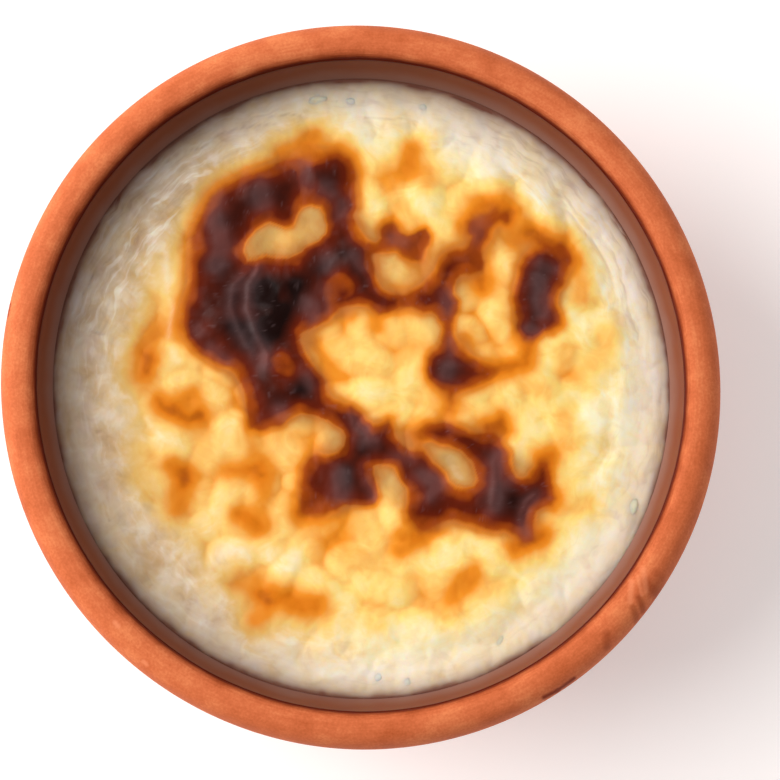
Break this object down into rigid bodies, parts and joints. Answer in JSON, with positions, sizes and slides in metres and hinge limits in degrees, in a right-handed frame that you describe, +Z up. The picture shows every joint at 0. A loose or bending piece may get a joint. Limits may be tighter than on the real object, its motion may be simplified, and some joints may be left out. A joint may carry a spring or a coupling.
{
  "type": "baked rice pudding in bowl",
  "caption": "Baked rice pudding with a scorched, blistered milk skin, set in a small round red earthenware bowl with a rolled lip and a turned foot.",
  "frame": {"origin": "on the table, under the middle of the bowl", "axes": "+Z up; +Y away from the eater; the bowl is a little longer along a line about 61 degrees clockwise of +X"},
  "size_m": [0.1198, 0.1208, 0.045],
  "materials": {
    "earthenware": "unglazed red clay, dry and matt, with a thin clear glaze inside only",
    "baked_pudding": "moist baked milk skin, pale gold with glossy dark scorched blisters"
  },
  "bodies": {
    "root": {"bowl": "earthenware", "pudding": "baked_pudding"}
  },
  "joints": []
}
